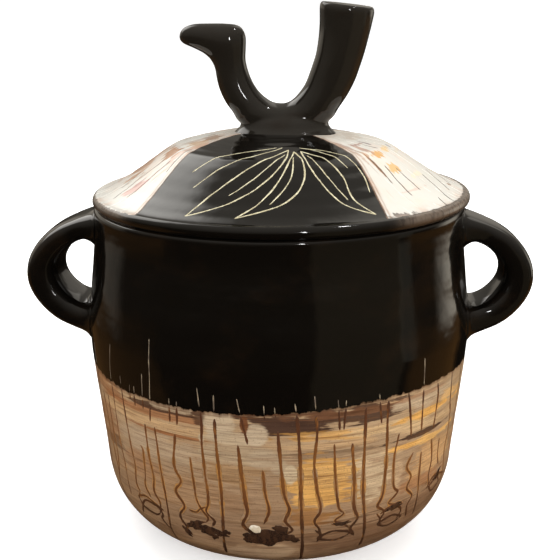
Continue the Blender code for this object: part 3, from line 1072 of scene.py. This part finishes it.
# Dark hairlines on the lid's white panels, as points of (angle, radius).
LID_HAIRS = (
    ((48, 65), (47.4, 74), (46.5, 83)),
    ((52.5, 72), (50.5, 82), (49.5, 93)),
    ((58, 75), (57.5, 83), (57, 91)),
    ((60.5, 99), (58, 107)),
    ((72, 84), (69, 93), (66, 100), (64.5, 107)),
    ((84, 84), (80, 90), (74, 99)),
    ((90, 91), (86, 96), (83, 99)),
    ((64, 52), (66, 60)),
    ((104, 62), (108, 78), (105, 90)),
    ((118, 58), (120, 84)),
    ((98, 90), (95, 104)),
    ((-62.5, 69), (-63, 80), (-62, 97)),
    ((-69, 70), (-71, 84), (-70, 93), (-68.5, 101)),
    ((-78, 82), (-77, 88), (-75, 94)),
    ((-61, 56), (-59, 66), (-56.5, 76)),
    ((-85, 60), (-88, 72), (-86, 84)),
    ((-98, 52), (-100, 70), (-97, 88)),
    ((-108, 62), (-110, 84)),
    ((-118, 66), (-116, 92)),
    ((-94, 92), (-90, 103)),
)


def lid_hairs(dark):
    hairs = Relief(lid_point)
    for seed, points in enumerate(LID_HAIRS):
        hairs.ribbon(points, 0.95, 0.07, seed=seed, waver=0.05)
    hairs.piece("lid_hairlines", dark, "lid", "scratched_line")


# ---- The pieces that stand for the CAD nodes ----


def turned_piece(name, sections, uneven, materials, body, node, shift=0.0, ring=False):
    points, faces, indices = turned(sections, uneven, shift, ring)
    piece = new_piece(name, points, faces, materials, body, node)
    piece.data.polygons.foreach_set("material_index", indices)
    fix_normals(piece)


def make_body(outer, inner, clay):
    lip = arc((LIP_RADIUS - 2.4, LIP_TOP - 2.4), 2.4, 90.0, 8.0)
    mouth = arc((MOUTH_RADIUS + 1.8, LIP_TOP - 1.8), 1.8, 180.0, 90.0, 8)
    underside = line((72.0, FOOT_HEIGHT + 0.1), (0.0, FOOT_HEIGHT + 0.1), 12)
    sections = ((pot_inside(), 1), (mouth, 1), (lip, 0), (pot_outside(), 0), (underside, 2))
    materials = [outer, inner, clay]
    turned_piece("pot_wall", sections, uneven_body, materials, "pot", "pot_body")


def make_foot(clay):
    """A turned ring with softened edges."""
    outer_edge = arc((FOOT_OUTER - 1.2, 1.2), 1.2, 0.0, -90.0, 6)
    inner_edge = arc((FOOT_INNER + 1.0, 1.0), 1.0, -90.0, -180.0, 6)
    top = FOOT_HEIGHT + 0.2
    side = np.vstack((((FOOT_OUTER + 0.6, top),), ((FOOT_OUTER, 2.2),), outer_edge))
    sole = line((FOOT_OUTER - 1.4, 0.0), (FOOT_INNER + 1.2, 0.0), 6)
    sections = ((side, 0), (sole, 0), (inner_edge, 0), (np.array([(FOOT_INNER - 0.4, top)]), 0))
    turned_piece("foot", sections, even, [clay], "pot", "foot_ring", ring=True)


# Each station across a handle's strap, from the upper root round to the lower one: a point on its
# outer edge, a point on its inner edge, and its width as a share of the strap's.
HANDLE_STATIONS = (
    ((105, 191.4), (105, 172.2), 1.13),
    ((109.5, 190.6), (108.6, 173), 1.12),
    ((116.5, 188.4), (113.4, 174.2), 1.06),
    ((123.8, 185.4), (118.2, 172.8), 1.00),
    ((131, 181.8), (122.6, 170.2), 1.00),
    ((138, 176.8), (126.4, 166.6), 1.00),
    ((144.2, 170), (129.4, 162.4), 1.00),
    ((148.4, 162.2), (131.1, 158.2), 1.00),
    ((150, 153.8), (131.3, 153.8), 1.00),
    ((148.8, 145.6), (130.3, 149.9), 1.00),
    ((144.9, 137.8), (128.1, 146.2), 1.00),
    ((138.7, 130.6), (125, 142.7), 1.02),
    ((131.2, 125), (120.8, 139.5), 1.05),
    ((122.8, 121.3), (115.8, 137.6), 1.10),
    ((114.4, 118.3), (111.2, 137.9), 1.18),
    ((108.8, 115.4), (108.6, 139.6), 1.24),
)
# Piece, CAD node, bearing in degrees round from the front, half the strap's width
HANDLES = (
    ("handle_right", "right_handle", 90.0, 18.5),
    ("handle_left", "left_handle", -94.5, 21.0),
)


def make_handle(name, node, bearing, half_width, glaze):
    """A pulled strap, with a fillet of slip where it meets the wall."""
    stations = np.array([(*outer, *inner, share) for outer, inner, share in HANDLE_STATIONS])
    smooth = spline(stations, 8)
    wall = pot_outside()[::-1]
    rings = []
    for row in smooth:
        ring = oval(row[0:2], row[2:4], row[4] * half_width, 0.62, 48)
        centre = ring.mean(axis=0)
        gap = np.hypot(ring[:, 0], ring[:, 1]) - np.interp(ring[:, 2], wall[:, 1], wall[:, 0])
        flare = 2.4 * np.exp(-np.clip(gap, 0.0, None) / 1.8)
        away = ring - centre
        away[:, 0] = 0.0
        ring = ring + away / np.linalg.norm(away, axis=1)[:, None].clip(1e-6) * flare[:, None]
        rings.append(ring)
    rings = np.array(rings)
    s, c = math.sin(math.radians(bearing)), math.cos(math.radians(bearing))
    outwards, sideways, height = rings[:, :, 0], rings[:, :, 1], rings[:, :, 2]
    turned_rings = (outwards * s + sideways * c, sideways * s - outwards * c, height)
    points = np.stack(turned_rings, axis=-1).reshape(-1, 3) * MM
    piece = new_piece(name, points, skinned(rings), [glaze], "pot", node)
    fix_normals(piece)


def make_lid(outer, inner):
    seat_height = LIP_TOP + SEAT_GAP
    edge_radius = LID_EDGE / 2
    edge = arc((LID_RADIUS - edge_radius, seat_height + edge_radius), edge_radius, 90.0, -90.0, 26)
    seat = line((LID_RADIUS - edge_radius, seat_height), (FLANGE_INNER, seat_height), 8)
    sections = ((lid_top(), 0), (edge, 0), (seat[1:], 1), (lid_hollow(), 1))
    materials = [outer, inner]
    turned_piece("lid_dome", sections, uneven_lid, materials, "lid", "lid_shell", LID_SHIFT)


def make_flange(glaze, clay):
    bottom = LIP_TOP - FLANGE_DEPTH
    top = LIP_TOP + 0.6
    outer = line((FLANGE_OUTER, top), (FLANGE_OUTER - 0.3, bottom + 1.6), 8)
    low = arc((FLANGE_OUTER - 1.9, bottom + 1.6), 1.6, 0.0, -90.0, 8)
    sole = arc((FLANGE_INNER + 1.8, bottom + 1.6), 1.6, -90.0, -180.0, 8)
    inner = line((FLANGE_INNER + 0.2, bottom + 1.8), (FLANGE_INNER, top), 8)
    sections = ((outer, 0), (low, 1), (sole, 1), (inner, 0))
    name, node = "lid_locating_flange", "lid_flange"
    turned_piece(name, sections, uneven_lid, [glaze, clay], "lid", node, LID_SHIFT, ring=True)


# Each station across the knob's bar, from the beak to the tail: a point on the outside of the U, a
# point on its inside, and half the bar's depth along Y.
KNOB_STATIONS = (
    ((-56.6, 289.8), (-56.8, 293), 2.4),
    ((-54.2, 287.6), (-54.4, 296.4), 5),
    ((-49.6, 285.6), (-48.6, 298.6), 7.2),
    ((-43.8, 282.8), (-40, 299), 8.6),
    ((-40, 279.8), (-30, 298.9), 9.4),
    ((-38.2, 277.2), (-22.6, 297.6), 9.6),
    ((-37, 274.6), (-19.2, 292.6), 9.4),
    ((-36.4, 272.2), (-19, 285.6), 9.2),
    ((-36, 269.4), (-19.2, 279), 9.1),
    ((-35.2, 265.2), (-17.8, 272.6), 9.2),
    ((-33.6, 260.2), (-15.2, 266), 9.6),
    ((-30.8, 254.4), (-11.6, 260.6), 10.2),
    ((-26.6, 248.6), (-7.2, 256.6), 11),
    ((-22.8, 243), (-3.4, 254.4), 11.8),
    ((-12, 239), (0.4, 253.7), 12.2),
    ((17, 239), (4, 254), 12.2),
    ((29.6, 244.6), (7.8, 256), 12.2),
    ((34.4, 251.4), (11.6, 260), 12.2),
    ((39.2, 258.6), (15, 265), 12.4),
    ((43.2, 266.4), (17.4, 271), 12.8),
    ((45.8, 273.6), (19.2, 276.2), 13.2),
    ((48.6, 282.4), (21.1, 282.6), 13.6),
    ((51, 291.8), (22.4, 291.6), 14),
    ((52.7, 299), (22.9, 299.8), 14.3),
    ((53.9, 305.6), (22.9, 308.9), 14.5),
    ((53, 308.2), (24, 311.4), 13.6),
)
KNOB_CENTRE = 3.2  # where the foot's middle lies along X
# The knob's foot from its top down: height, half length along X, half depth along Y
KNOB_FOOT = (
    (247.5, 21.0, 12.5),
    (244.5, 24.6, 15.2),
    (242.0, 25.4, 16.6),
    (240.0, 26.4, 18.0),
    (237.0, 29.5, 21.0),
    (234.0, 31.0, 22.5),
)
KNOB_VOXEL = 0.8  # mm: the grain of the mesh that joins the bar and the foot


def make_knob(glaze):
    """The bird: a bar bent into a U and its oval foot, joined into one mass and smoothed."""
    stations = np.array([(*outer, *inner, depth) for outer, inner, depth in KNOB_STATIONS])
    bar = [oval(row[0:2], row[2:4], row[4], 0.92, 40) for row in spline(stations, 5)]
    foot = []
    for height, half_length, half_depth in spline(KNOB_FOOT, 4):
        t = np.linspace(0.0, 2 * math.pi, 64, endpoint=False)
        x = KNOB_CENTRE + half_length * np.cos(t)
        foot.append(np.column_stack((x, half_depth * np.sin(t), np.full(64, height))))
    faces = skinned(bar)
    points = np.vstack(bar)
    faces += skinned(foot, len(points))
    points = np.vstack((points, np.vstack(foot))) * MM
    piece = new_piece("knob_bird", points, faces, [glaze], "lid", "bird_knob")
    fix_normals(piece)
    remesh = piece.modifiers.new("one_mass", "REMESH")
    remesh.mode = "VOXEL"
    remesh.voxel_size = KNOB_VOXEL * MM
    remesh.use_smooth_shade = True
    smooth = piece.modifiers.new("soften", "SMOOTH")
    smooth.factor = 0.5
    smooth.iterations = 9
    graph = bpy.context.evaluated_depsgraph_get()
    mesh = bpy.data.meshes.new_from_object(piece.evaluated_get(graph))
    piece.modifiers.clear()
    piece.data = mesh
    mesh.shade_smooth()


# ---- Studio ----


FLOOR_HALF = 30.0  # metres from the pot to the floor's edge


def make_floor():
    """A very wide sheet: white to the eye, and as dark as a wooden table to the light it throws back."""
    graph = Graph("studio_floor")
    x, y, _ = graph.place()
    mottle = graph.noise(x / 40.0, y / 40.0, 0.0, 4.0)
    seen = graph.blend(graph.step(mottle, 0.3, 0.7), (0.92, 0.92, 0.915), (0.94, 0.94, 0.935))
    eye = graph.output(graph.new("ShaderNodeLightPath"), "Is Camera Ray")
    colour = graph.blend(eye, (0.34, 0.25, 0.17), seen)
    glow = {"Emission_Color": (1.0, 1.0, 1.0), "Emission_Strength": eye * 0.42}
    material = graph.finish(colour, 0.75, **glow)
    mesh = bpy.data.meshes.new("studio_floor")
    half = FLOOR_HALF
    corners = [(-half, -half, 0.0), (half, -half, 0.0), (half, half, 0.0), (-half, half, 0.0)]
    mesh.from_pydata(corners, [], [(0, 1, 2, 3)])
    mesh.materials.append(material)
    floor = bpy.data.objects.new("studio_floor", mesh)
    bpy.context.scene.collection.objects.link(floor)
    floor.visible_glossy = False


NEUTRAL = (1.0, 1.0, 1.0)
WARM = (1.0, 0.96, 0.90)


def area_light(name, place, target, width, height, power, colour=NEUTRAL, glossy=True):
    data = bpy.data.lights.new(name, "AREA")
    data.shape = "RECTANGLE"
    data.size = width
    data.size_y = height
    data.energy = power
    data.color = colour
    light = bpy.data.objects.new(name, data)
    light.location = place
    light.rotation_euler = (Vector(target) - Vector(place)).to_track_quat("-Z", "Y").to_euler()
    light.visible_camera = False
    light.visible_glossy = glossy
    bpy.context.scene.collection.objects.link(light)


SOFT_TARGET = (0.0, 0.0, 0.15)
# Name, place in m, width and height in m, power in W, colour
SOFT_LIGHTS = (
    ("overhead", (0.0, 0.2, 1.9), 1.6, 1.6, 16.0, NEUTRAL),
    ("front_fill", (0.3, -1.9, 0.6), 1.8, 1.3, 18.0, NEUTRAL),
    ("left_fill", (-1.8, 0.1, 0.5), 1.2, 1.2, 14.0, NEUTRAL),
    ("right_fill", (1.8, 0.1, 0.5), 1.2, 1.2, 17.0, WARM),
    ("back_right", (0.9, 1.7, 1.2), 1.2, 1.2, 16.0, NEUTRAL),
    ("back_left", (-0.9, 1.7, 1.2), 1.2, 1.2, 9.0, NEUTRAL),
)

LAMP_DISTANCE = 1.6
LAMP_TARGET = (0.0, 0.0, 0.22)
# Name, azimuth and elevation in degrees, width and height in m, power in W
LAMPS = (
    ("lamp_right", 92.0, 70.0, 0.06, 0.06, 2.4),
    ("lamp_front", 12.0, 16.0, 0.05, 0.30, 2.4),
)


def make_lights():
    """Wide soft lights all round, and the room's small lamps that sparkle in the glaze."""
    for name, place, width, tall, power, colour in SOFT_LIGHTS:
        area_light(name, place, SOFT_TARGET, width, tall, power, colour, glossy=False)
    for name, azimuth, elevation, width, tall, power in LAMPS:
        flat = math.cos(math.radians(elevation)) * LAMP_DISTANCE
        x, y = flat * math.sin(math.radians(azimuth)), -flat * math.cos(math.radians(azimuth))
        z = LAMP_TARGET[2] + LAMP_DISTANCE * math.sin(math.radians(elevation))
        area_light(name, (x, y, z), LAMP_TARGET, width, tall, power)


# What the glaze reflects, besides the lamps: azimuth from and to, in degrees, the width of its soft sides,
# the sine of the elevation from and to, and a colour.
REFLECTED = (
    (-170.0, -106.0, 16.0, 0.36, 0.80, (2.50, 2.44, 2.32)),
    (-165.0, -108.0, 6.0, -0.02, 0.38, (0.40, 0.36, 0.30)),
    (-152.0, -104.0, 12.0, -0.21, 0.05, (0.19, 0.17, 0.14)),
    (103.0, 147.0, 22.0, -0.20, 0.20, (1.35, 1.24, 1.03)),
    (150.0, 179.0, 5.0, -0.05, 0.40, (0.27, 0.25, 0.22)),
    (136.0, 174.0, 6.0, 0.40, 0.84, (0.60, 0.57, 0.51)),
    (17.0, 80.0, 5.0, -0.90, 0.04, (0.11, 0.088, 0.055)),
    (73.0, 88.0, 5.0, -0.26, 0.10, (0.16, 0.155, 0.125)),
    (80.0, 140.0, 8.0, -0.80, -0.20, (0.18, 0.082, 0.020)),
    (-158.0, -72.0, 8.0, -0.80, -0.21, (0.095, 0.044, 0.012)),
)


def make_world():
    """Even light on the pot; in reflections, a dim warm room with bright walls behind the pot."""
    world = bpy.data.worlds.new("studio")
    bpy.context.scene.world = world
    world.use_nodes = True
    graph = Nodes(world.node_tree)
    graph.tree.nodes.clear()
    x, y, z = graph.split(graph.output(graph.new("ShaderNodeTexCoord"), "Generated"))
    azimuth = graph.azimuth(x, y)
    colour = graph.ramp(
        z * 0.5 + 0.5,
        (0.22, (0.006, 0.004, 0.003)),
        (0.38, (0.008, 0.006, 0.004)),
        (0.46, (0.034, 0.028, 0.022)),
        (0.55, (0.160, 0.145, 0.120)),
        (0.68, (0.240, 0.220, 0.190)),
        (0.95, (0.430, 0.400, 0.350)),
    )
    for start, end, fade, low, high, tint in REFLECTED:
        inside = graph.step(azimuth, start, start + fade) * graph.step(azimuth, end, end - fade)
        level = graph.step(z, low - 0.03, low + 0.03) * graph.step(z, high + 0.08, high - 0.08)
        colour = graph.blend(inside * level, colour, graph.blend(1.0, colour, tint, "ADD"))

    room = graph.new("ShaderNodeBackground")
    graph.put(room.inputs[0], colour)
    white = graph.new("ShaderNodeBackground")
    white.inputs[0].default_value = (1.0, 1.0, 1.0, 1.0)
    ray = graph.new("ShaderNodeLightPath")
    graph.put(white.inputs[1], graph.output(ray, "Is Camera Ray") * 0.36 + 0.66)
    mix = graph.new("ShaderNodeMixShader")
    graph.put(mix.inputs[0], graph.output(ray, "Is Glossy Ray"))
    graph.put(mix.inputs[1], graph.output(white))
    graph.put(mix.inputs[2], graph.output(room))
    graph.put(graph.new("ShaderNodeOutputWorld").inputs[0], graph.output(mix))


CAMERA_PLACE = (0.0, -0.7448, 0.3444)
CAMERA_PITCH = 14.74  # degrees down
CAMERA_LENS = 82.92
CAMERA_SENSOR = 36.0
CAMERA_SHIFT = 0.00143


def make_camera():
    data = bpy.data.cameras.new("camera")
    data.lens = CAMERA_LENS
    data.sensor_width = CAMERA_SENSOR
    data.shift_x = CAMERA_SHIFT
    camera = bpy.data.objects.new("camera", data)
    camera.location = CAMERA_PLACE
    camera.rotation_euler = (math.radians(90.0 - CAMERA_PITCH), 0.0, 0.0)
    bpy.context.scene.collection.objects.link(camera)
    bpy.context.scene.camera = camera


def main():
    bpy.context.scene.view_settings.view_transform = "Standard"
    make_camera()
    black = black_glaze()
    clay = bare_clay()
    pale = scratched("scratched_pale", (0.50, 0.44, 0.27), (0.74, 0.68, 0.46), (0.30, 0.24, 0.13), 0.5)
    rust = rust_lines()
    hair = scratched("lid_hair", (0.045, 0.033, 0.027), (0.15, 0.085, 0.045), (0.06, 0.04, 0.03), 0.45)
    tick = scratched("body_tick", (0.13, 0.10, 0.075), (0.34, 0.28, 0.19), (0.10, 0.06, 0.035), 0.45)
    drop = scratched("glaze_drop", (0.028, 0.014, 0.009), (0.055, 0.026, 0.014), (0.09, 0.045, 0.022), 0.22)
    cream = scratched("cream_drop", (0.66, 0.58, 0.44), (0.78, 0.72, 0.60), (0.52, 0.42, 0.28), 0.30)
    make_body(pot_glaze(), black, clay)
    make_foot(clay)
    for name, node, bearing, half_width in HANDLES:
        make_handle(name, node, bearing, half_width, black)
    make_lid(lid_glaze(), black)
    make_flange(black, clay)
    make_knob(black_glaze("knob_glaze", (0.0125, 0.0105, 0.0080)))
    body_lines(tick, rust, line_stain(), drop, cream)
    lid_drawing(pale)
    lid_hairs(hair)
    make_floor()
    make_world()
    make_lights()


main()
